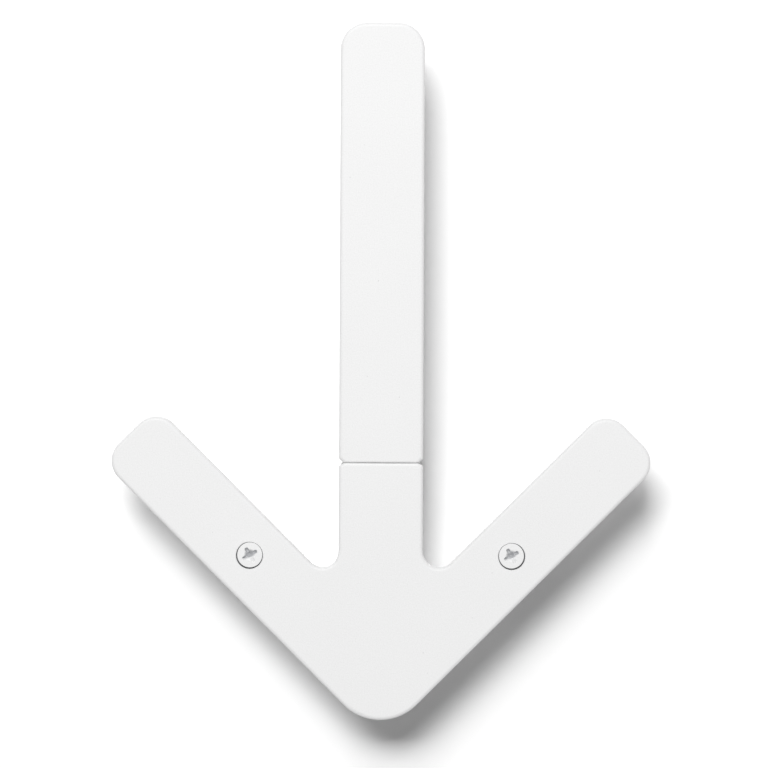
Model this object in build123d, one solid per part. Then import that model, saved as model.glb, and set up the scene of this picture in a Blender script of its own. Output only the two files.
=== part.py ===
"""Folding arrow coat hook, in millimetres.

X runs to the right, Y into the wall and Z up. The wall's surface is y = 0, and the origin lies
on it, midway between the two screws. The hook is drawn as it hangs: the peg folded flat.
"""

import os
from math import acos, atan2, cos, degrees, hypot, radians, sin, sqrt

from build123d import *

# Plate: the flat white front that the arrow is seen as
FRONT = 22.0  # front face, out from the wall
PLATE = 6.0  # thickness of the arrow
FRONT_EDGE = 1.6  # rounding of the front edges
SPLIT_EDGE = 1.0  # rounding of the peg's lower front edge, beside the thin line
BACK_EDGE = 0.6  # chamfer of the back edges

# Outline of the arrow, seen from the front
SCREW_SPACING = 109.0  # between the two screws, which sit on the wings' centre lines
WING_WIDTH = 32.0
WING_LENGTH = 164.4  # lower edge of a wing, from the sharp point of the arrow to its end
WING_CORNER = 10.0
TIP_RADIUS = 21.5
NOTCH_RADIUS = 6.8  # inner corner between a wing and the stub
SHAFT_WIDTH = 35.0
SHAFT_TOP = 221.8  # top of the peg, above the screws
SHAFT_CORNER = 11.0
SPLIT = 38.7  # lower end of the peg, above the screws
SPLIT_GAP = 0.15  # the thin line seen between the peg and the stub
SPLIT_CORNER = 1.8  # cut corners of the peg and the stub, where they meet

# Hinge
OPEN_ANGLE = 55.0  # degrees that the peg swings out
HINGE_DEPTH = PLATE  # pin's axis, behind the front face: it lies in the plane of the plate's back
HINGE_RISE = 6.0  # pin's axis, above the peg's end face
PIN_RADIUS = 2.0
PIN_RECESS = 0.5  # each end of the pin, inside the peg's side
PIN_CHAMFER = 0.3
LUG_RADIUS = 3.6
LUG_WIDTH = 11.0
WASHER_THICKNESS = 0.5
WASHER_RADIUS = 3.4
KNUCKLE_RADIUS = 5.6  # back of the peg's lower end, about the pin
KNUCKLE_STRAIGHT = 1.5  # height of the knuckle's flat back, above the pin
KNUCKLE_RUN_OUT = 17.0  # where the knuckle meets the plate, above the pin
STOP_DEPTH = 4.5  # metal behind the stop's face
STOP_HALF = 4.5  # half length of the stop's face, along its slope
STOP_ROUND = 1.0  # upper edge of the stop's face
BLOCK_ROUND = 1.5  # upper edge of the hinge block's back
BLOCK_BEND = 2.5  # rounding where its back turns in towards the plate
BLOCK_BACK = 10.0  # height of its flat back
BLOCK_DROP = 24.0  # its foot on the plate, below its upper edge

# Clearances
RUNNING = 0.05  # radial, between the pin and what turns on it
PRESSED = 0.01  # radial, between the pin and the cheeks that hold it
WASHER_SIDE = 0.025  # each side of a washer
SWING_GAP = 0.2  # round the corner of the peg as it swings
LUG_GAP = 0.3  # between the lug and the front skin of the peg
STOP_GAP = 0.08  # left at the stop when the peg is fully open

# Back of the head
BOSS_RADIUS = 8.0
HEEL_RADIUS = 9.0
HEEL_RISE = 8.5  # centre of the heel boss, above the point where the wings' middle lines meet
BOSS_ROOT = 2.0  # cone where a boss leaves the plate
PAD_CHAMFER = 0.5
RIB_WIDTH = 4.0
RIB_HEIGHT = 4.5
RIB_MARGIN = 30.4  # between the end of a wing's rib and the end of the wing

# Screws
HEAD_RADIUS = 5.25
HEAD_PROUD = 0.5  # the rim of the head above the plate
HEAD_CROWN = 0.2  # rise of the crown above the rim
RIM_CHAMFER = 0.2
SHANK_RADIUS = 1.8
THREAD_RADIUS = 2.5
THREAD_LENGTH = 28.0  # behind the wall's surface
POINT_LENGTH = 5.0
SCREW_HOLE_RADIUS = 3.0
SINK_GAP = 0.3  # between the head's rim and the mouth of the countersink
SINK_DEPTH = 0.6  # straight part of that mouth
SEAT_GAP = 0.05
RECESS_SPAN = 6.5  # across the cross
RECESS_ARM = 1.4
RECESS_DEPTH = 2.6
RECESS_TURN = 30.0  # degrees that the cross is turned, seen from the front

OVERLAP = 1.0  # how far shapes that are joined or cut run into each other

# Derived positions
BACK = FRONT - PLATE
SCREW_X = SCREW_SPACING / 2
POINT_Z = -SCREW_X - WING_WIDTH / sqrt(2)  # where the lower edges would meet
HEEL_Z = HEEL_RISE - SCREW_X
RIB_REACH = WING_LENGTH - WING_WIDTH / 2 - RIB_MARGIN
RIB_TOP = SPLIT - BLOCK_DROP + RIB_WIDTH
HALF_SHAFT = SHAFT_WIDTH / 2
PIN_Y = -FRONT + HINGE_DEPTH
PIN_Z = SPLIT + HINGE_RISE
SLOT_WIDTH = LUG_WIDTH + 2 * WASHER_THICKNESS + 4 * WASHER_SIDE
SKIN = HINGE_DEPTH - LUG_RADIUS - LUG_GAP
CORNER_SWEEP = hypot(HINGE_DEPTH - SPLIT_EDGE, HINGE_RISE - SPLIT_EDGE) + SPLIT_EDGE
SWING_RADIUS = CORNER_SWEEP + SWING_GAP
LIP_DEPTH = HINGE_DEPTH - sqrt(SWING_RADIUS**2 - (HINGE_RISE + SPLIT_GAP) ** 2)
LIP_RISE = sqrt(LIP_DEPTH * (2 * FRONT_EDGE - LIP_DEPTH))  # of the rounded edge, at that depth
STUB_TOP = SPLIT - SPLIT_GAP + FRONT_EDGE - LIP_RISE  # cut back to the lip by the swing hollow
STOP_REACH = HINGE_RISE + STOP_GAP

# The stop's outward direction and its slope, in the (Y, Z) plane about the pin
DOWN_BACK = (sin(radians(OPEN_ANGLE)), -cos(radians(OPEN_ANGLE)))
UP_BACK = (cos(radians(OPEN_ANGLE)), sin(radians(OPEN_ANGLE)))


def outward(outline, start, height):
    """An outline in (x, z) as a solid that starts this far off the wall and grows to the viewer."""
    sketch_plane = Plane(origin=(0, -start, 0), x_dir=(1, 0, 0), z_dir=(0, -1, 0))
    return extrude(sketch_plane * outline, height, dir=(0, -1, 0))


def across(profile, width):
    """A hinge profile, drawn about the pin in (Y, Z), as a solid centred on x = 0."""
    sketch_plane = Plane(origin=(-width / 2, PIN_Y, PIN_Z), x_dir=(0, 1, 0), z_dir=(1, 0, 0))
    return extrude(sketch_plane * profile, width, dir=(1, 0, 0))


def about_pin(out, along):
    """Point at a distance from the pin towards the stop, and a distance up the stop's slope."""
    return (
        out * DOWN_BACK[0] + along * UP_BACK[0],
        out * DOWN_BACK[1] + along * UP_BACK[1],
    )


def rounded_polygon(corners):
    """Closed outline from (x, z, radius) corners, each rounded by its own radius."""
    face = Face(Wire.make_polygon([(x, z) for x, z, _ in corners], close=True))
    for x, z, radius in corners:
        if radius:
            nearest = face.vertices().sort_by_distance(Vector(x, z, 0))[0]
            face = fillet(nearest, radius)
    return face


def head_outline():
    """The arrowhead with its stub, from the sharp point round to the left."""
    run = WING_LENGTH / sqrt(2)
    step = WING_WIDTH / sqrt(2)
    notch_z = POINT_Z + 2 * step + HALF_SHAFT
    right = [
        (run, POINT_Z + run, WING_CORNER),
        (run - step, POINT_Z + run + step, WING_CORNER),
        (HALF_SHAFT, notch_z, NOTCH_RADIUS),
        (HALF_SHAFT, STUB_TOP - SPLIT_CORNER, 0),
        (HALF_SHAFT - SPLIT_CORNER, STUB_TOP, 0),
    ]
    left = [(-x, z, radius) for x, z, radius in reversed(right)]
    return rounded_polygon([(0, POINT_Z, TIP_RADIUS)] + right + left)


def shaft_outline():
    """The folding shaft: round shoulders at the top, small cut corners at the split."""
    shaft = rounded_polygon(
        [
            (-HALF_SHAFT, SPLIT, 0),
            (HALF_SHAFT, SPLIT, 0),
            (HALF_SHAFT, SHAFT_TOP, SHAFT_CORNER),
            (-HALF_SHAFT, SHAFT_TOP, SHAFT_CORNER),
        ]
    )
    return chamfer(shaft.vertices().sort_by(Axis.Y)[:2], SPLIT_CORNER)


def plate(outline):
    """An outline as the arrow's plate: rounded front edges, chamfered back edges."""
    solid = outward(outline, BACK, PLATE)
    solid = fillet(solid.faces().sort_by(Axis.Y)[0].edges(), FRONT_EDGE)
    return chamfer(solid.faces().sort_by(Axis.Y)[-1].edges(), BACK_EDGE)


def turned(corners, x, z):
    """Solid of revolution about the Y axis through (x, z), from (radius, height off the wall)."""
    frame = Plane(origin=(x, 0, z), x_dir=(1, 0, 0), z_dir=(0, 0, -1))
    return revolve(frame * rounded_polygon(corners), Axis((x, 0, z), (0, 1, 0)))


def boss(x, z, radius):
    """Round boss from inside the plate to the wall, with a cone at its root."""
    skirt = radius + BOSS_ROOT
    return turned(
        [
            (0, BACK + OVERLAP, 0),
            (skirt, BACK + OVERLAP, 0),
            (skirt, BACK, 0),
            (radius, BACK - BOSS_ROOT, 0),
            (radius, PAD_CHAMFER, 0),
            (radius - PAD_CHAMFER, 0, 0),
            (0, 0, 0),
        ],
        x,
        z,
    )


def rib(start, end):
    """Stiffening rib with round ends on the back of the plate, between two (x, z) points."""
    run, rise = end[0] - start[0], end[1] - start[1]
    strip = Rot(0, 0, degrees(atan2(rise, run))) * SlotCenterToCenter(hypot(run, rise), RIB_WIDTH)
    middle = Pos(start[0] + run / 2, start[1] + rise / 2)
    return outward(middle * strip, BACK - RIB_HEIGHT, RIB_HEIGHT + OVERLAP)


def on_wing(side, distance):
    """(x, z) on a wing's centre line, this far from the arrow's own centre line."""
    return (side * distance / sqrt(2), -SCREW_X + distance / sqrt(2))


def hinge_block():
    """Profile of the block behind the stub: swing clearance, stop face, back and foot."""
    face_foot = about_pin(STOP_REACH, -sqrt(SWING_RADIUS**2 - STOP_REACH**2))
    face_top = about_pin(STOP_REACH, STOP_HALF)
    back_top = about_pin(STOP_REACH + STOP_DEPTH, STOP_HALF)
    plate_back = PLATE - HINGE_DEPTH
    foot = back_top[1] - BLOCK_DROP
    return rounded_polygon(
        [
            (plate_back - OVERLAP, face_foot[1], 0),
            (*face_foot, 0),
            (*face_top, STOP_ROUND),
            (*back_top, BLOCK_ROUND),
            (back_top[0], back_top[1] - BLOCK_BACK, BLOCK_BEND),
            (plate_back, foot, 0),
            (plate_back - OVERLAP, foot, 0),
        ]
    )


def swing_hollow():
    """Profile of the hollow that the peg's lower corner swings through, up to the stop's face."""
    beyond = 3 * SWING_RADIUS
    kept = make_face(
        Polyline(
            about_pin(STOP_REACH, -beyond),
            about_pin(STOP_REACH, beyond),
            about_pin(STOP_REACH + beyond, beyond),
            about_pin(STOP_REACH + beyond, -beyond),
            close=True,
        )
    )
    return Circle(SWING_RADIUS) - kept


def lug():
    """Profile of the hinge lug: round about the pin, on a neck that rises from the stop's face."""
    neck = make_face(
        Polyline(
            about_pin(0, -LUG_RADIUS),
            about_pin(STOP_REACH + OVERLAP, -LUG_RADIUS),
            about_pin(STOP_REACH + OVERLAP, LUG_RADIUS),
            about_pin(0, LUG_RADIUS),
            close=True,
        )
    )
    return Circle(LUG_RADIUS) + neck


def screw_hole(x):
    """Cutter for one screw: clearance hole, countersink and a straight, chamfered mouth."""
    mouth = HEAD_RADIUS + SINK_GAP
    sink_top = FRONT - SINK_DEPTH
    return turned(
        [
            (0, -OVERLAP, 0),
            (SCREW_HOLE_RADIUS, -OVERLAP, 0),
            (SCREW_HOLE_RADIUS, sink_top - (mouth - SCREW_HOLE_RADIUS), 0),
            (mouth, sink_top, 0),
            (mouth, FRONT - RIM_CHAMFER, 0),
            (mouth + RIM_CHAMFER + OVERLAP, FRONT + OVERLAP, 0),
            (0, FRONT + OVERLAP, 0),
        ],
        x,
        0,
    )


def arrowhead():
    """The casting on the wall: plate, bosses, ribs, hinge block, lug and screw holes."""
    outline = head_outline()
    body = plate(outline)
    for side in (-1, 1):
        body += rib((0, -SCREW_X), on_wing(side, RIB_REACH))
        body += boss(side * SCREW_X, 0, BOSS_RADIUS)
    body += rib((0, HEEL_Z), (0, RIB_TOP))
    body += boss(0, HEEL_Z, HEEL_RADIUS)
    inside = outward(outline, 0, FRONT)
    body += across(hinge_block(), SHAFT_WIDTH) & inside
    body -= across(swing_hollow(), SHAFT_WIDTH + 2 * OVERLAP)
    body += across(lug(), LUG_WIDTH)
    body -= across(Circle(PIN_RADIUS + RUNNING), LUG_WIDTH + 2 * OVERLAP)
    for side in (-1, 1):
        body -= screw_hole(side * SCREW_X)
    return body


def knuckle():
    """Profile of the peg's thick lower end, about the pin, as far in as the middle of the plate.

    No point behind the pin is further from it than the end face, so the peg turns past the stop.
    """
    middle, back = -PLATE / 2, PLATE - HINGE_DEPTH
    touch = acos(KNUCKLE_RADIUS / HINGE_RISE)
    foot = make_face(
        Polyline(
            (middle, -HINGE_RISE),
            (0, -HINGE_RISE),
            (KNUCKLE_RADIUS * sin(touch), -KNUCKLE_RADIUS * cos(touch)),
            (0, 0),
            (middle, 0),
            close=True,
        )
    )
    run_out = make_face(
        Polyline(
            (middle, -OVERLAP),
            (0, -OVERLAP),
            (0, 0),
            (KNUCKLE_RADIUS, 0),
            (KNUCKLE_RADIUS, KNUCKLE_STRAIGHT),
            (back, KNUCKLE_RUN_OUT),
            (middle, KNUCKLE_RUN_OUT),
            close=True,
        )
    )
    return foot + run_out + Circle(KNUCKLE_RADIUS)


def folding_peg():
    """The shaft of the arrow: plate, knuckle, slot for the lug and the pin's hole."""
    outline = shaft_outline()
    body = outward(outline, BACK, PLATE)
    body += across(knuckle(), SHAFT_WIDTH) & outward(outline, 0, FRONT - OVERLAP)
    front_edges = body.faces().sort_by(Axis.Y)[0].edges().sort_by(Axis.Z)
    body = fillet(front_edges[1:], FRONT_EDGE)
    lower_edge = body.faces().sort_by(Axis.Y)[0].edges().sort_by(Axis.Z)[0]
    body = fillet(lower_edge, SPLIT_EDGE)
    flat_back = body.faces().filter_by(Axis.Y).sort_by(SortBy.AREA)[-2]
    body = chamfer(flat_back.edges().sort_by(Axis.Z)[1:], BACK_EDGE)
    inner = -HINGE_DEPTH + SKIN
    slot = make_face(
        Polyline(
            (inner, -2 * HINGE_RISE),
            (3 * KNUCKLE_RADIUS, -2 * HINGE_RISE),
            (3 * KNUCKLE_RADIUS, -inner),
            (inner, -inner),
            close=True,
        )
    )
    body -= across(slot, SLOT_WIDTH)
    return body - across(Circle(PIN_RADIUS + PRESSED), SHAFT_WIDTH + 2 * OVERLAP)


def hinge_pin():
    """Steel pin from cheek to cheek, with a small chamfer at each end."""
    length = SHAFT_WIDTH - 2 * PIN_RECESS
    pin = across(Circle(PIN_RADIUS), length)
    ends = pin.edges().filter_by(GeomType.CIRCLE)
    return chamfer(ends, PIN_CHAMFER)


def friction_washer(side):
    """Thin ring on the pin, between the lug and one cheek."""
    ring = Circle(WASHER_RADIUS) - Circle(PIN_RADIUS + RUNNING)
    middle = side * (LUG_WIDTH / 2 + WASHER_SIDE + WASHER_THICKNESS / 2)
    return Pos(middle, 0, 0) * across(ring, WASHER_THICKNESS)


def cross_recess(x):
    """Cutter for the cross: two crossed bars, held inside a cone that narrows with depth."""
    top = FRONT + HEAD_PROUD + HEAD_CROWN
    bars = Rectangle(2 * RECESS_SPAN, RECESS_ARM) + Rectangle(RECESS_ARM, 2 * RECESS_SPAN)
    bars = Pos(x, 0) * Rot(0, 0, RECESS_TURN) * bars
    prism = outward(bars, top - RECESS_DEPTH - OVERLAP, RECESS_DEPTH + 2 * OVERLAP)
    half = RECESS_SPAN / 2
    outer = turned(
        [
            (0, top - RECESS_DEPTH, 0),
            (RECESS_ARM / 2, top - RECESS_DEPTH, 0),
            (half, top - HEAD_CROWN, 0),
            (half, top + OVERLAP, 0),
            (0, top + OVERLAP, 0),
        ],
        x,
        0,
    )
    middle = turned(
        [
            (0, top - RECESS_DEPTH - 0.3, 0),
            (RECESS_ARM * 0.35, top - RECESS_DEPTH, 0),
            (RECESS_ARM * 1.15, top, 0),
            (RECESS_ARM * 1.15, top + OVERLAP, 0),
            (0, top + OVERLAP, 0),
        ],
        x,
        0,
    )
    return (prism & outer) + middle


def wall_screw(side):
    """Raised countersunk screw through one wing, its threaded end standing out into the wall."""
    x = side * SCREW_X
    rim = FRONT + HEAD_PROUD
    cone_top = FRONT - SINK_DEPTH - SINK_GAP + SEAT_GAP * sqrt(2)
    screw = turned(
        [
            (0, rim + HEAD_CROWN, 0),
            (HEAD_RADIUS * 0.55, rim + HEAD_CROWN * 0.72, 0),
            (HEAD_RADIUS - RIM_CHAMFER, rim, 0),
            (HEAD_RADIUS, rim - RIM_CHAMFER, 0),
            (HEAD_RADIUS, cone_top, 0),
            (SHANK_RADIUS, cone_top - (HEAD_RADIUS - SHANK_RADIUS), 0),
            (SHANK_RADIUS, 0, 0),
            (THREAD_RADIUS, 0, 0),
            (THREAD_RADIUS, POINT_LENGTH - THREAD_LENGTH, 0),
            (0, -THREAD_LENGTH, 0),
        ],
        x,
        0,
    )
    return screw - cross_recess(x)


def main():
    """Write every piece to its own STEP file, all in the one shared frame."""
    os.makedirs("parts", exist_ok=True)
    pieces = {"arrowhead": arrowhead(), "folding_peg": folding_peg(), "hinge_pin": hinge_pin()}
    for side, name in ((-1, "left"), (1, "right")):
        pieces[f"friction_washer_{name}"] = friction_washer(side)
        pieces[f"wall_screw_{name}"] = wall_screw(side)
    for node, piece in pieces.items():
        export_step(piece, f"parts/{node}.step")


main()
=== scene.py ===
"""Looks of the folding arrow coat hook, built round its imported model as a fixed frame.

Everything is in metres in the model's own frame: X to the right, Y into the wall, Z up, with
the wall's surface at y = 0 and the origin midway between the two screws.
"""

import logging
import math
from dataclasses import dataclass
from enum import Enum

import bmesh
import bpy
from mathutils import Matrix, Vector

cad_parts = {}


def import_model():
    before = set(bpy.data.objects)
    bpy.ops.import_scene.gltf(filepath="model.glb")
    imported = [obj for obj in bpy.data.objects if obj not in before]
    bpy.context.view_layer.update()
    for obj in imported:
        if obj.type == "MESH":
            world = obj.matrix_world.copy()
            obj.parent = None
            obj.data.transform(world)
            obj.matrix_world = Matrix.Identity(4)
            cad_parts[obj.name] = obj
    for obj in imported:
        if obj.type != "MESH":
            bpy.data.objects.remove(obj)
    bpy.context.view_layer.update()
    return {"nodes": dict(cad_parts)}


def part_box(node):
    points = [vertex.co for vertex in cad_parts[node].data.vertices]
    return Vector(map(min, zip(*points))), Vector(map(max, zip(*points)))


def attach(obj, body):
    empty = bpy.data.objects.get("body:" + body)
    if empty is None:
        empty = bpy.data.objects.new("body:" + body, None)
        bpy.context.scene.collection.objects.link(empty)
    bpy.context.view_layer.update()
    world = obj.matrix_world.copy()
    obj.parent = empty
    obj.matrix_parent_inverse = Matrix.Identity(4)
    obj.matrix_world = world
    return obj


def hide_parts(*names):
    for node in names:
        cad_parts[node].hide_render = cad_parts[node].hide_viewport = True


MM = 0.001
LOG = logging.getLogger("coat_hook")


class Side(Enum):
    """The two wings, by the sign of x."""

    LEFT = -1
    RIGHT = 1

    @property
    def label(self) -> str:
        """The word that ends a node's name on this side."""
        return self.name.lower()


class Lit(Enum):
    """What a lamp lights, by what it does with the wall. The wall has lamps of its own."""

    WALL = "INCLUDE"
    HOOK = "EXCLUDE"


class Pattern(Enum):
    """Procedural textures that the finishes are made of, by their Blender node."""

    NOISE = "ShaderNodeTexNoise"
    CELLS = "ShaderNodeTexVoronoi"


def linear(hex_colour: str) -> tuple[float, float, float, float]:
    """Turn an sRGB hex colour into the linear colour that a shader socket takes.

    Args:
        hex_colour: colour as "#RRGGBB".

    Returns:
        Linear red, green and blue, and an alpha of 1.
    """
    channels = [int(hex_colour[i : i + 2], 16) / 255 for i in (1, 3, 5)]
    red, green, blue = (c / 12.92 if c <= 0.04045 else ((c + 0.055) / 1.055) ** 2.4 for c in channels)
    return (red, green, blue, 1.0)


def add_node(
    tree: bpy.types.NodeTree,
    kind: str,
    values: dict | None = None,
    links: dict | None = None,
    **settings,
) -> bpy.types.Node:
    """Add one node to a tree, with its settings, its fixed values and what is plugged into it.

    Args:
        tree: node tree that gets the node.
        kind: Blender's name for the node type.
        values: fixed value for each named or numbered input.
        links: output socket plugged into each named or numbered input.
        **settings: properties of the node itself, such as an operation.

    Returns:
        The new node.
    """
    node = tree.nodes.new(kind)
    for name, value in settings.items():
        setattr(node, name, value)
    for socket, value in (values or {}).items():
        node.inputs[socket].default_value = value
    for socket, source in (links or {}).items():
        tree.links.new(source, node.inputs[socket])
    return node


def new_material(name: str) -> tuple[bpy.types.Material, bpy.types.NodeTree]:
    """Make an empty node material.

    Args:
        name: the finish's name.

    Returns:
        The material and its node tree, with no nodes in it.
    """
    material = bpy.data.materials.new(name)
    material.use_nodes = True
    material.node_tree.nodes.clear()
    return material, material.node_tree


def reckon(
    tree: bpy.types.NodeTree, operation: str, *terms: float | bpy.types.NodeSocket
) -> bpy.types.NodeSocket:
    """Join numbers and output sockets by one of Blender's Math operations.

    Args:
        tree: node tree that gets the node.
        operation: Blender's name for the operation.
        *terms: what goes into it, in order.

    Returns:
        Output socket with the result.
    """
    values = {place: term for place, term in enumerate(terms) if isinstance(term, float)}
    links = {place: term for place, term in enumerate(terms) if not isinstance(term, float)}
    return add_node(tree, "ShaderNodeMath", values, links, operation=operation).outputs[0]


def blend(
    tree: bpy.types.NodeTree,
    share: bpy.types.NodeSocket,
    first: tuple | bpy.types.NodeSocket,
    second: tuple | bpy.types.NodeSocket,
) -> bpy.types.NodeSocket:
    """Blend two colours, each of them fixed or plugged in.

    Args:
        tree: node tree that gets the node.
        share: output socket with the second colour's share.
        first: first colour, linear, or an output socket with it.
        second: second colour, in the same way.

    Returns:
        Output socket with the blend.
    """
    colours = {6: first, 7: second}
    values = {place: colour for place, colour in colours.items() if isinstance(colour, tuple)}
    links = {place: colour for place, colour in colours.items() if place not in values}
    return add_node(tree, "ShaderNodeMix", values, {0: share, **links}, data_type="RGBA").outputs[2]


def noise(
    tree: bpy.types.NodeTree, place: bpy.types.NodeSocket, size_mm: float, detail: float
) -> bpy.types.NodeSocket:
    """Soft noise with features of a real size.

    Args:
        tree: the finish's node tree.
        place: coordinates that the noise is laid out in.
        size_mm: width of one feature.
        detail: octaves of finer noise on top.

    Returns:
        Output socket, about 0 to 1.
    """
    values = {"Scale": per_metre(size_mm), "Detail": detail, "Roughness": 0.5}
    texture = add_node(tree, Pattern.NOISE.value, values=values, links={"Vector": place})
    return texture.outputs[0]


def rough(
    tree: bpy.types.NodeTree, height: bpy.types.NodeSocket, rise_mm: float, **links
) -> bpy.types.NodeSocket:
    """Bump a surface by a pattern of a real height.

    Args:
        tree: the finish's node tree.
        height: output socket of the pattern, about 0 to 1.
        rise_mm: height that 1 stands for.
        **links: the normal that it is added to, if there is one.

    Returns:
        Output socket with the new normal.
    """
    values = {"Strength": 1.0, "Distance": rise_mm * MM}
    return add_node(tree, "ShaderNodeBump", values, {"Height": height, **links}).outputs["Normal"]


def seen_white(tree: bpy.types.NodeTree) -> bpy.types.NodeSocket:
    """Mask of the rays that show a surface, rather than light another one from it.

    Args:
        tree: node tree that gets the nodes.

    Returns:
        Output socket, 1 for what the eye sees directly, in a reflection or through glass.
    """
    path = add_node(tree, "ShaderNodeLightPath")
    seen = path.outputs["Is Camera Ray"]
    for name in ("Is Glossy Ray", "Is Transmission Ray"):
        seen = reckon(tree, "MAXIMUM", seen, path.outputs[name])
    return seen


def per_metre(size_mm: float) -> float:
    """Texture scale, in repeats per metre, at which one feature is size_mm wide."""
    return 1.0 / (size_mm * MM)


@dataclass(frozen=True)
class PowderCoat:
    """White polyester powder coat, sprayed on a casting and baked.

    It gives the eye a plain satin white: an even sheet with the faint waves of the melt, a
    fine grain under glancing light, and very few specks of dust baked into it.
    """

    name: str = "powder_coat_satin_white"
    colour: str = "#FBFBFB"
    dull_colour: str = "#E6E6E6"
    speck_colour: str = "#DADADA"
    roughness: float = 0.42
    gloss_range: float = 0.05
    ior: float = 1.5
    peel_mm: float = 2.4
    peel_rise_mm: float = 0.016
    grain_mm: float = 0.55  # real grain is near 0.1 mm, and is drawn coarser so that it shows
    grain_rise_mm: float = 0.045
    cloud_mm: float = 45.0
    cloud_share: float = 0.15
    speck_cell_mm: float = 9.0
    speck_mm: float = 0.16

    def material(self) -> bpy.types.Material:
        """Make the coat as a Blender material.

        Returns:
            The new material.
        """
        material, tree = new_material(self.name)
        place = add_node(tree, "ShaderNodeTexCoord").outputs["Object"]
        peel = noise(tree, place, self.peel_mm, 2.0)
        grain = noise(tree, place, self.grain_mm, 3.0)
        cloud = noise(tree, place, self.cloud_mm, 2.0)
        waves = rough(tree, peel, self.peel_rise_mm)
        relief = rough(tree, grain, self.grain_rise_mm, Normal=waves)
        mottle = add_node(
            tree,
            "ShaderNodeMix",
            values={0: self.cloud_share},
            links={2: grain, 3: cloud},
        )
        tone = blend(tree, mottle.outputs[0], linear(self.colour), linear(self.dull_colour))
        coloured = blend(tree, self.specks(tree, place), tone, linear(self.speck_colour))
        low, high = self.roughness - self.gloss_range, self.roughness + self.gloss_range
        sheen = add_node(
            tree,
            "ShaderNodeMapRange",
            values={"To Min": low, "To Max": high},
            links={"Value": grain},
        )
        coat = add_node(
            tree,
            "ShaderNodeBsdfPrincipled",
            values={"IOR": self.ior},
            links={
                "Base Color": self.with_painted_shade(tree, place, coloured),
                "Roughness": sheen.outputs["Result"],
                "Normal": relief,
            },
        )
        add_node(tree, "ShaderNodeOutputMaterial", links={"Surface": coat.outputs["BSDF"]})
        return material

    def with_painted_shade(
        self, tree: bpy.types.NodeTree, place: bpy.types.NodeSocket, colour: bpy.types.NodeSocket
    ) -> bpy.types.NodeSocket:
        """Colour of the coat with its painted shade, if it has one. This plain coat has none: it is the
        same all over.

        Args:
            tree: the coat's node tree. Not used here.
            place: coordinates in the model's frame. Not used here.
            colour: colour of the full coat.

        Returns:
            Output socket with the colour.
        """
        return colour

    def specks(self, tree: bpy.types.NodeTree, place: bpy.types.NodeSocket) -> bpy.types.NodeSocket:
        """Mask of the baked-in specks: the middle of some cells, and nothing elsewhere.

        Args:
            tree: the coat's node tree.
            place: coordinates that the specks are laid out in.

        Returns:
            Output socket, 1 in a speck and 0 elsewhere.
        """
        cells = add_node(
            tree,
            Pattern.CELLS.value,
            values={"Scale": per_metre(self.speck_cell_mm), "Randomness": 1.0},
            links={"Vector": place},
        )
        core = add_node(
            tree,
            "ShaderNodeMapRange",
            values={
                "From Min": self.speck_mm / self.speck_cell_mm,
                "From Max": 2 * self.speck_mm / self.speck_cell_mm,
                "To Min": 1.0,
                "To Max": 0.0,
            },
            links={"Value": cells.outputs["Distance"]},
        )
        return core.outputs["Result"]


@dataclass(frozen=True)
class ScrewedCoat(PowderCoat):
    """The castings' coat on the one that the screws go through.

    It gives the eye a painted shade: the seat deep in each screw hole is grey, so that the gap
    below each screw's head shows as a dark line.
    """

    name: str = "powder_coat_painted_seat_shade"
    # grey of the painted shade on the screws' seats
    painted_shade_colour: str = "#828385"
    screw_x: float = 54.5  # millimetres from the middle, as are the rest
    seat_radius: float = 5.8
    seat_front: float = 21.6
    seat_back: float = 16.8

    def with_painted_shade(
        self, tree: bpy.types.NodeTree, place: bpy.types.NodeSocket, colour: bpy.types.NodeSocket
    ) -> bpy.types.NodeSocket:
        """Colour of the coat, with a painted shade on the two seats.

        Args:
            tree: the coat's node tree.
            place: coordinates in the model's frame.
            colour: colour of the full coat.

        Returns:
            Output socket with the colour.
        """
        # painted shade: grey on the seat's surface deep in each hole, within seat_radius of a screw
        along = add_node(tree, "ShaderNodeSeparateXYZ", links={0: place}).outputs
        beside = reckon(tree, "SUBTRACT", reckon(tree, "ABSOLUTE", along["X"]), self.screw_x * MM)
        flat = add_node(tree, "ShaderNodeCombineXYZ", links={"X": beside, "Z": along["Z"]})
        radius = add_node(tree, "ShaderNodeVectorMath", operation="LENGTH", links={0: flat.outputs[0]})
        near = reckon(tree, "LESS_THAN", radius.outputs["Value"], self.seat_radius * MM)
        middle = -(self.seat_front + self.seat_back) / 2 * MM
        reach = (self.seat_front - self.seat_back) / 2 * MM
        deep = reckon(tree, "COMPARE", along["Y"], middle, reach)
        return blend(tree, reckon(tree, "MULTIPLY", near, deep), colour, linear(self.painted_shade_colour))


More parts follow.
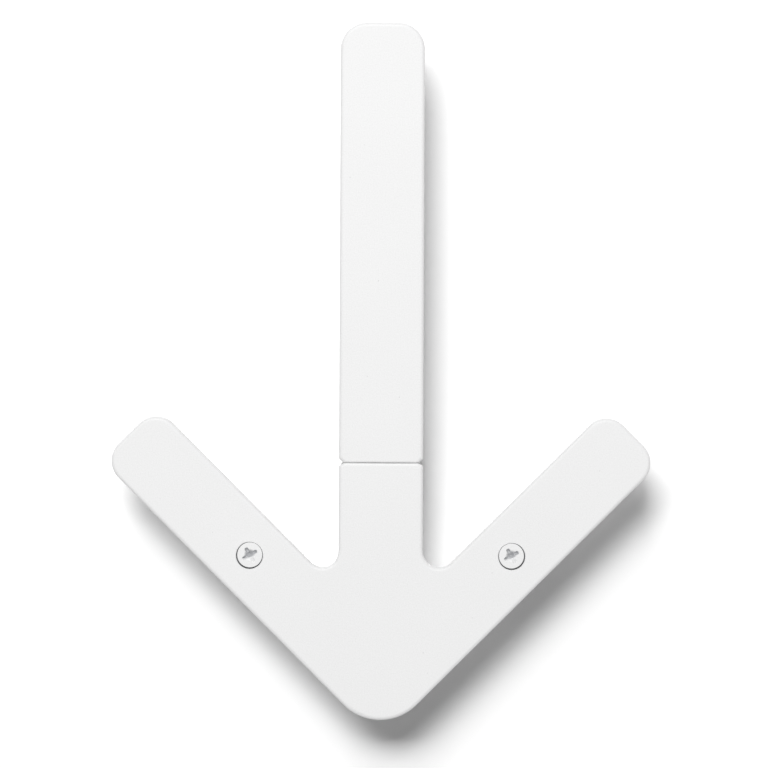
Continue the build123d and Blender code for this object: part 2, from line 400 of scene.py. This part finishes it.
@dataclass(frozen=True)
class HeadLacquer(PowderCoat):
    """White lacquer, sprayed on a screw's head from the front.

    It gives the eye the castings' white on the crown, and a painted shade: a grey that deepens
    with depth below the crown, in the recess and in the gap round the rim.
    """

    name: str = "lacquered_screw_head"
    roughness: float = 0.36
    # grey of the painted shade in the recess and round the rim
    painted_shade_colour: str = "#C4C5C7"
    crown_height: float = 22.0  # of the head, in millimetres from the wall; the screw sets it
    shade_from: float = 0.15  # depth below the crown at which the painted shade begins
    # depth below the crown at which the painted shade is full grey
    shade_full_at: float = 1.1

    def with_painted_shade(
        self, tree: bpy.types.NodeTree, place: bpy.types.NodeSocket, colour: bpy.types.NodeSocket
    ) -> bpy.types.NodeSocket:
        """Colour of the lacquer, run out to a grey of painted shade with depth below the crown.

        Args:
            tree: the coat's node tree.
            place: coordinates in the model's frame.
            colour: colour of the full coat.

        Returns:
            Output socket with the colour.
        """
        along = add_node(tree, "ShaderNodeSeparateXYZ", links={0: place})
        # painted shade: the colour greys with depth below the crown
        start, end = ((depth - self.crown_height) * MM for depth in (self.shade_from, self.shade_full_at))
        shade_share = add_node(
            tree,
            "ShaderNodeMapRange",
            values={"From Min": start, "From Max": end},
            links={"Value": along.outputs["Y"]},
        )
        return blend(tree, shade_share.outputs["Result"], colour, linear(self.painted_shade_colour))


@dataclass(frozen=True)
class WorkedSteel:
    """Bare or plated steel with fine tool marks round its axis.

    It gives the eye a grey metal whose reflection is drawn out into faint rings.
    """

    name: str
    colour: str
    dull_colour: str
    roughness: float
    mark_mm: float  # spacing of the tool marks, along the piece's axis
    mark_rise_mm: float
    along_x: bool = True
    mark_run: float = 0.06  # spacing of the marks, as a share of their length round the piece
    stain_mm: float = 3.0
    gloss_range: tuple[float, float] = (-0.07, 0.1)

    def material(self) -> bpy.types.Material:
        """Make the steel as a Blender material.

        Returns:
            The new material.
        """
        material, tree = new_material(self.name)
        place = add_node(tree, "ShaderNodeTexCoord").outputs["Object"]
        run = self.mark_run
        stretch = (1.0, run, run) if self.along_x else (run, 1.0, run)
        drawn = add_node(
            tree, "ShaderNodeMapping", values={"Scale": stretch}, links={"Vector": place}
        )
        marks = noise(tree, drawn.outputs["Vector"], self.mark_mm, 3.0)
        stain = noise(tree, place, self.stain_mm, 3.0)
        tone = blend(tree, stain, linear(self.colour), linear(self.dull_colour))
        low, high = (self.roughness + change for change in self.gloss_range)
        polish = add_node(
            tree,
            "ShaderNodeMapRange",
            values={"To Min": low, "To Max": high},
            links={"Value": stain},
        )
        metal = add_node(
            tree,
            "ShaderNodeBsdfPrincipled",
            values={"Metallic": 1.0},
            links={
                "Base Color": tone,
                "Roughness": polish.outputs["Result"],
                "Normal": rough(tree, marks, self.mark_rise_mm),
            },
        )
        add_node(tree, "ShaderNodeOutputMaterial", links={"Surface": metal.outputs["BSDF"]})
        return material


# Centreless-ground pin steel: bright, with fine rings round the pin
PIN_STEEL = WorkedSteel("ground_pin_steel", "#C6C8CA", "#AEB1B4", 0.28, 0.25, 0.0006)
# Blanked spring steel: greyer and a little brown, from its heat treatment
SPRING_STEEL = WorkedSteel("blanked_spring_steel", "#9C9A97", "#807D79", 0.38, 0.2, 0.001)
# Zinc plate on a rolled thread: pale and slightly blue, duller in random patches
ZINC_PLATE = WorkedSteel("zinc_plated_thread", "#C9CDD3", "#A9ADB4", 0.33, 0.3, 0.001, along_x=False)

# In millimetres: how much the screws' heads are smaller than in the CAD, and how far each screw
# sits off its hole's centre, to the inside and up
HEAD_PLAY = 0.05
PLAY_IN, PLAY_UP = 0.16, 0.28
# Grid lines across half a screw's head, in millimetres from its centre, for a head of
# GRID_RADIUS: close together where the sides and the ends of the recess's arms are steep
GRID_RADIUS = 5.25
GRID_LINES = (
    *(0.12 * k for k in range(5)),
    *(0.54 + 0.045 * k for k in range(10)),  # sides of the arms
    *(1.08, 1.22, 1.4, 1.6, 1.8, 2.0, 2.2, 2.4, 2.6, 2.75),
    *(2.87 + 0.055 * k for k in range(10)),  # ends of the arms
    *(3.5, 3.8, 4.15, 4.5, 4.8, 5.0),
)
# Section of one turn of thread: share of the pitch along it, and share of the crest's height
THREAD_FORM = (
    *((0.0, 0.0), (0.3, 0.06), (0.42, 0.45), (0.48, 1.0)),
    *((0.54, 1.0), (0.62, 0.4), (0.76, 0.06), (1.0, 0.0)),
)


@dataclass
class CountersunkScrew:
    """Raised countersunk wall screw with a cross recess, in place of the plain CAD screw.

    Lengths are in millimetres. Heights are measured out from the wall, to the viewer.
    """

    side: Side
    centre_x: float
    crown_height: float
    head_radius: float
    thread_length: float
    play: tuple[float, float]  # how far it sits off the hole's centre, to the right and up
    crown: float = 0.06
    rim_round: float = 0.1
    cone_inset: float = 0.34  # leaves the cone clear of its seat when the screw is off centre
    cone_depth: float = 1.53  # from the crown to the top of the cone
    rim_steps: tuple[int, ...] = (15, 30, 45, 60, 75, 90)  # degrees round the rim
    shank_radius: float = 1.8
    core_radius: float = 1.7
    thread_radius: float = 2.5
    point_length: float = 5.0
    pitch: float = 2.3
    lead_in_turns: float = 1.5  # over which the thread's crest rises
    arm_half: float = 1.05  # half the width of an arm of the cross, at the centre
    arm_taper: float = 0.06  # and how much of that it loses for each millimetre outwards
    arm_reach: float = 3.4
    arm_end: float = 0.55  # rounding of its end
    arm_depth: float = 2.4
    wall_slope: float = 4.5  # depth gained for each millimetre inwards, at the edge
    bowl_radius: float = 2.6
    bowl_depth: float = 2.8
    pooled: float = 0.72  # share of the recess that the lacquer has filled in its lower half
    pool_start: float = 0.1  # where that starts, above the centre
    pool_run: float = 1.2  # and how far it is from there to the full share
    pool_lean: float = 20.0  # degrees, to the left, from straight up to the clear side
    turn_degrees: float = 30.0
    steps_a_turn: int = 44
    lacquered_rings: int = 8  # below the crown: the rim's and the cone's
    neck_round: float = 0.4  # height of the blend from cone to shank, each way
    neck_flare: tuple[float, float] = (0.15, 0.1)  # of the shank, over and at the cone's foot
    sharp_degrees: float = 40.0  # the head's edges turn by more, its rounded parts by less

    @classmethod
    def in_place_of(cls, side: Side) -> "CountersunkScrew":
        """Size a screw from the plain CAD screw that it stands for.

        It sits off centre in its play, up and to the inside, so that the gap round its head is
        widest below and outside, as in the photograph.

        Args:
            side: wing that the screw goes through.

        Returns:
            A screw with the CAD screw's place, head and length.
        """
        low, high = (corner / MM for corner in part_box(f"wall_screw_{side.label}"))
        return cls(
            side=side,
            centre_x=(low.x + high.x) / 2,
            crown_height=-low.y,
            head_radius=(high.x - low.x) / 2 - HEAD_PLAY,
            thread_length=high.y,
            play=(-PLAY_IN * side.value, PLAY_UP),
        )

    def lines(self) -> list[float]:
        """Grid lines right across this screw's head.

        Returns:
            Distances from the centre in millimetres, in rising order.
        """
        half = [x * self.head_radius / GRID_RADIUS for x in GRID_LINES]
        return [-x for x in reversed(half[1:])] + half

    def recess(self, u: float, v: float) -> float:
        """Depth of the cross recess below the crown at a point of the head.

        Args:
            u: distance from the centre along one arm.
            v: distance from the centre along the other arm.

        Returns:
            Depth in millimetres, 0 outside the recess.
        """
        across, along = sorted((abs(u), abs(v)))
        taper = self.arm_half - self.arm_taper * along
        dx = max(across - (taper - self.arm_end), 0)
        dy = max(along - (self.arm_reach - self.arm_end), 0)
        inset = max(self.arm_end - math.hypot(dx, dy), 0)
        arm = self.arm_depth * (1 - math.exp(-self.wall_slope * inset / self.arm_depth))
        share = min(math.hypot(u, v) / self.bowl_radius, 1)
        angle = math.radians(self.turn_degrees - self.pool_lean)
        above = u * math.sin(angle) + v * math.cos(angle)
        below = min(max((self.pool_start - above) / self.pool_run, 0), 1)
        open_share = 1 - self.pooled * below * below * (3 - 2 * below)
        return open_share * max(arm, self.bowl_depth * (1 - share * share) ** 2)

    def head_point(self, u: float, v: float) -> Vector:
        """Point of the head's top surface, from the grid's two coordinates.

        Args:
            u: distance from the centre along one arm, on the square grid.
            v: distance from the centre along the other arm, on the square grid.

        Returns:
            The point in the model's frame, in metres.
        """
        limit = self.lines()[-1]
        s, t = u / limit, v / limit
        x, z = u * math.sqrt(1 - t * t / 2), v * math.sqrt(1 - s * s / 2)
        fall = self.crown * (x * x + z * z) / (limit * limit)
        return self.placed(x, z, self.crown_height - fall - self.recess(u, v))

    def placed(self, x: float, z: float, height: float) -> Vector:
        """Turn a point from the screw's own axes into the model's frame.

        Args:
            x: distance along one arm of the cross.
            z: distance along the other arm.
            height: distance from the wall.

        Returns:
            The point in the model's frame, in metres.
        """
        angle = math.radians(self.turn_degrees)
        right = self.centre_x + self.play[0] + x * math.cos(angle) - z * math.sin(angle)
        up = self.play[1] + x * math.sin(angle) + z * math.cos(angle)
        return Vector((right, -height, up)) * MM

    def profile(self) -> list[tuple[float, float]]:
        """Outline below the crown: rim, cone and plain shank.

        Returns:
            Radius and height of each ring, from the rim to the thread.
        """
        inner = self.head_radius - self.rim_round
        edge = self.crown_height - self.crown
        rim = [
            (inner + self.rim_round * math.sin(a), edge - self.rim_round * (1 - math.cos(a)))
            for a in map(math.radians, self.rim_steps)
        ]
        cone_top = self.crown_height - self.cone_depth
        neck = cone_top - (self.head_radius - self.shank_radius)
        above, below = neck + self.neck_round, neck - self.neck_round
        over, at = (self.shank_radius + flare for flare in self.neck_flare)
        cone = [(self.head_radius - self.cone_inset, cone_top), (over, above)]
        shank = [(at, neck), (self.shank_radius, below)]
        return rim + cone + shank + [(self.shank_radius, 0.0), (self.core_radius, -self.pitch)]

    def build_head(self, mesh: bmesh.types.BMesh) -> None:
        """Add the crowned head with its recess, its cone and the plain shank.

        Args:
            mesh: mesh that gets the faces. The head's have material 0, the shank's 1.
        """
        lines = self.lines()
        last = len(lines) - 1
        grid = [[mesh.verts.new(self.head_point(u, v)) for v in lines] for u in lines]
        for i in range(last):
            for j in range(last):
                mesh.faces.new((grid[i][j], grid[i][j + 1], grid[i + 1][j + 1], grid[i + 1][j]))
        border = (
            [grid[i][0] for i in range(last)]
            + [grid[last][j] for j in range(last)]
            + [grid[i][last] for i in range(last, 0, -1)]
            + [grid[0][j] for j in range(last, 0, -1)]
        )
        centre = self.placed(0, 0, 0)
        rays = [Vector((v.co.x - centre.x, 0, v.co.z - centre.z)).normalized() for v in border]
        ring = border
        for index, (radius, height) in enumerate(self.profile()):
            here = Vector((centre.x, -height * MM, centre.z))
            fresh = [mesh.verts.new(here + ray * radius * MM) for ray in rays]
            for k in range(len(ring)):
                after = (k + 1) % len(ring)
                face = mesh.faces.new((ring[k], ring[after], fresh[after], fresh[k]))
                face.material_index = 0 if index < self.lacquered_rings else 1
            ring = fresh

    def thread_section(self, depth: float) -> tuple[float, float]:
        """Core radius and thread height at a depth behind the wall's surface.

        Args:
            depth: distance behind the wall's surface.

        Returns:
            Core radius and the crest's height over it, both run out towards the point.
        """
        to_point = min(max((self.thread_length - depth) / self.point_length, 0.0), 1.0)
        lead_in = min(max(depth / (self.lead_in_turns * self.pitch), 0.0), 1.0)
        crest = self.thread_radius - self.core_radius
        return self.core_radius * to_point, crest * lead_in * to_point

    def build_thread(self, mesh: bmesh.types.BMesh) -> None:
        """Add the rolled thread, one strip of a pitch's width wound down to the point.

        Args:
            mesh: mesh that gets the faces, with material 1.
        """
        turns = self.thread_length / self.pitch
        count = int(turns * self.steps_a_turn)
        before: list[bmesh.types.BMVert] = []
        for step in range(count + 1):
            angle = 2 * math.pi * step / self.steps_a_turn
            start = self.pitch * (step / self.steps_a_turn - 0.5)
            row = []
            for share, rise in THREAD_FORM:
                depth = min(max(start + share * self.pitch, 0.0), self.thread_length)
                core, crest = self.thread_section(depth)
                radius = core + crest * rise
                row.append(
                    mesh.verts.new(self.placed(radius * math.cos(angle), radius * math.sin(angle), -depth))
                )
            for k in range(len(row) - 1):
                if before:
                    face = mesh.faces.new((before[k], row[k], row[k + 1], before[k + 1]))
                    face.material_index = 1
            before = row

    def build(self, lacquer: bpy.types.Material, plate: bpy.types.Material) -> bpy.types.Object:
        """Make the screw, put it on its body and let it stand for the CAD screw.

        Args:
            lacquer: finish of the head.
            plate: finish of the shank and thread.

        Returns:
            The screw's object.
        """
        node = f"wall_screw_{self.side.label}"
        shape = bmesh.new()
        self.build_head(shape)
        self.build_thread(shape)
        bmesh.ops.remove_doubles(shape, verts=shape.verts, dist=1e-7)
        bmesh.ops.recalc_face_normals(shape, faces=shape.faces)
        for face in shape.faces:
            face.smooth = True
        mesh = bpy.data.meshes.new(f"{node}_detail")
        shape.to_mesh(mesh)
        shape.free()
        mesh.materials.append(lacquer)
        mesh.materials.append(plate)
        mesh.set_sharp_from_angle(angle=math.radians(self.sharp_degrees))
        screw = bpy.data.objects.new(f"{node}_detail", mesh)
        bpy.context.scene.collection.objects.link(screw)
        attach(screw, "head")
        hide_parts(node)
        return screw


@dataclass
class Hook:
    """The CAD pieces that keep their own shape: both castings, the pin and the washers."""

    nodes: dict

    def dress(self) -> None:
        """Give each piece its finish."""
        finishes = {
            "arrowhead": ScrewedCoat().material(),
            "folding_peg": PowderCoat().material(),
            "hinge_pin": PIN_STEEL.material(),
            "friction_washer_left": SPRING_STEEL.material(),
        }
        finishes["friction_washer_right"] = finishes["friction_washer_left"]
        for name, finish in finishes.items():
            slots = self.nodes[name].material_slots
            if not slots:
                self.nodes[name].data.materials.append(finish)
            for slot in slots:
                slot.material = finish
            LOG.info("%s: %s", name, finish.name)


@dataclass(frozen=True)
class SoftLamp:
    """Rectangular soft lamp, parallel to the wall. Its level is the share of plain white it gives.

    Distances are from the wall's plane, in metres, and below 0 behind it. The run is how far the
    light goes to the right and down for each metre towards the wall, and the spread how much
    that varies over the lamp, so that the two set where a shadow falls and how soft it is.
    """

    name: str
    lights: Lit
    distance: float
    run: tuple[float, float]
    spread: tuple[float, float]
    level: float

    def share(self, steps: int = 16) -> float:
        """Share of the lamp's own brightness that a plain surface at the origin gets from it.

        Args:
            steps: pieces that the lamp is cut into each way for the sum.

        Returns:
            The share, 1 for a lamp that fills all that the surface faces.
        """
        offsets = [(k + 0.5) / steps - 0.5 for k in range(steps)]
        total = 0.0
        for x in offsets:
            for z in offsets:
                right, down = self.run[0] + self.spread[0] * x, self.run[1] + self.spread[1] * z
                total += 1 / (1 + right * right + down * down) ** 2
        return total * self.spread[0] * self.spread[1] / (math.pi * steps * steps)

    def hang(self, wall: bpy.types.Object) -> None:
        """Add the lamp to the scene.

        Args:
            wall: the wall, which the lamp lights alone or not at all.
        """
        reach = abs(self.distance)
        data = bpy.data.lights.new(self.name, "AREA")
        data.shape = "RECTANGLE"
        data.size, data.size_y = self.spread[0] * reach, self.spread[1] * reach
        data.energy = math.pi * data.size * data.size_y * self.level / self.share()
        lamp = bpy.data.objects.new(self.name, data)
        lamp.location = (-self.run[0] * reach, -self.distance, self.run[1] * reach)
        inwards = Vector((0, 1 if self.distance > 0 else -1, 0))
        lamp.rotation_euler = inwards.to_track_quat("-Z", "Y").to_euler()
        lamp.visible_camera = False
        bpy.context.scene.collection.objects.link(lamp)
        group = bpy.data.collections.new(self.name)
        group.objects.link(wall)
        group.collection_objects[0].light_linking.link_state = self.lights.value
        lamp.light_linking.receiver_collection = group


@dataclass
class Studio:
    """The wall, the camera and plain soft light from above and a little to the left."""

    view_distance: float = 1.3  # from the hook's front, at which view_width fills the picture
    view_width: float = 0.3191
    view_x: float = 0.0011
    view_z: float = 0.0715
    view_roll: float = -0.26  # degrees, so that the hook leans as it does in the photograph
    plate_height: float = 0.022
    wall_size: float = 9.0
    wall_depth: float = 0.0003  # just clear of the pads, so that they show from behind
    wall_white: float = 1.08  # lit wall as the eye sees it, clipped to plain white
    wall_bounce: str = "#D0D0D0"  # wall as it lights the hook
    ambient: float = 0.20  # share of plain white that the surroundings give as light
    lights: tuple[SoftLamp, ...] = (
        SoftLamp("wall_window", Lit.WALL, 6.5, run=(0.34, 0.76), spread=(0.82, 0.56), level=0.64),
        SoftLamp("wall_ceiling", Lit.WALL, 3.2, run=(0.35, 1.60), spread=(0.8, 0.8), level=0.18),
        SoftLamp("hook_window", Lit.HOOK, 1.8, run=(0.10, 0.70), spread=(0.5, 0.5), level=0.283),
        SoftLamp("hook_tent", Lit.HOOK, 2.0, run=(0.0, 0.0), spread=(6.0, 6.0), level=0.46),
        SoftLamp("hook_back", Lit.HOOK, -4.0, run=(0.40, 0.55), spread=(0.6, 0.6), level=0.17),
    )

    def camera(self) -> None:
        """Camera square to the wall, with the photograph's framing."""
        data = bpy.data.cameras.new("camera")
        data.sensor_width = 36.0
        data.lens = data.sensor_width / (self.view_width / self.view_distance)
        data.clip_start, data.clip_end = 0.05, 50.0
        camera = bpy.data.objects.new("camera", data)
        camera.location = (self.view_x, -self.plate_height - self.view_distance, self.view_z)
        camera.rotation_euler = (math.radians(90), math.radians(self.view_roll), 0)
        bpy.context.scene.collection.objects.link(camera)
        bpy.context.scene.camera = camera

    def lamps(self, wall: bpy.types.Object) -> None:
        """Hang the wall's lamps, and the hook's own softer ones.

        Args:
            wall: the wall behind the hook.
        """
        for light in self.lights:
            light.hang(wall)

    def world(self) -> None:
        """Even white surroundings: full white to the eye and in reflections, dimmer as light."""
        world = bpy.data.worlds.new("studio")
        world.use_nodes = True
        tree = world.node_tree
        tree.nodes.clear()
        strength = add_node(
            tree,
            "ShaderNodeMapRange",
            values={"To Min": self.ambient, "To Max": 1.0},
            links={"Value": seen_white(tree)},
        )
        light = add_node(
            tree,
            "ShaderNodeBackground",
            values={"Color": (1, 1, 1, 1)},
            links={"Strength": strength.outputs["Result"]},
        )
        add_node(tree, "ShaderNodeOutputWorld", links={"Surface": light.outputs["Background"]})
        bpy.context.scene.world = world

    def wall_material(self) -> bpy.types.Material:
        """Make the white wall's finish: it shows the shadow, and is clear from behind.

        Returns:
            The new material.
        """
        material, tree = new_material("white_wall")
        path = add_node(tree, "ShaderNodeLightPath")
        face = add_node(tree, "ShaderNodeNewGeometry")
        white = (self.wall_white, self.wall_white, self.wall_white, 1.0)
        tone = blend(tree, seen_white(tree), linear(self.wall_bounce), white)
        matt = add_node(tree, "ShaderNodeBsdfDiffuse", links={"Color": tone})
        clear = add_node(tree, "ShaderNodeBsdfTransparent")
        open_side = reckon(tree, "MAXIMUM", face.outputs["Backfacing"], path.outputs["Is Shadow Ray"])
        sided = add_node(
            tree,
            "ShaderNodeMixShader",
            links={0: open_side, 1: matt.outputs[0], 2: clear.outputs[0]},
        )
        add_node(tree, "ShaderNodeOutputMaterial", links={"Surface": sided.outputs[0]})
        return material

    def wall(self) -> bpy.types.Object:
        """Make the wall that the hook hangs on, which isn't part of the hook.

        Returns:
            The wall's object.
        """
        half = self.wall_size / 2
        mesh = bpy.data.meshes.new("wall")
        y = self.wall_depth
        corners = [(-half, y, -half), (half, y, -half), (half, y, half), (-half, y, half)]
        mesh.from_pydata(corners, [], [(0, 1, 2, 3)])
        mesh.materials.append(self.wall_material())
        wall = bpy.data.objects.new("wall", mesh)
        bpy.context.scene.collection.objects.link(wall)
        return wall

    def build(self) -> None:
        """Set up the camera, the light and the wall."""
        self.camera()
        self.world()
        self.lamps(self.wall())
        bpy.context.scene.view_settings.view_transform = "Standard"


def main() -> None:
    """Build the hook's looks and the studio, piece by piece."""
    logging.basicConfig(level=logging.INFO, format="%(name)s: %(message)s")
    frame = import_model()
    Hook(frame["nodes"]).dress()
    screws = [CountersunkScrew.in_place_of(side) for side in Side]
    lacquer = HeadLacquer(crown_height=screws[0].crown_height).material()
    plate = ZINC_PLATE.material()
    for screw in (one.build(lacquer, plate) for one in screws):
        LOG.info("%s: %d faces", screw.name, len(screw.data.polygons))
    Studio().build()


if __name__ == "__main__":
    main()
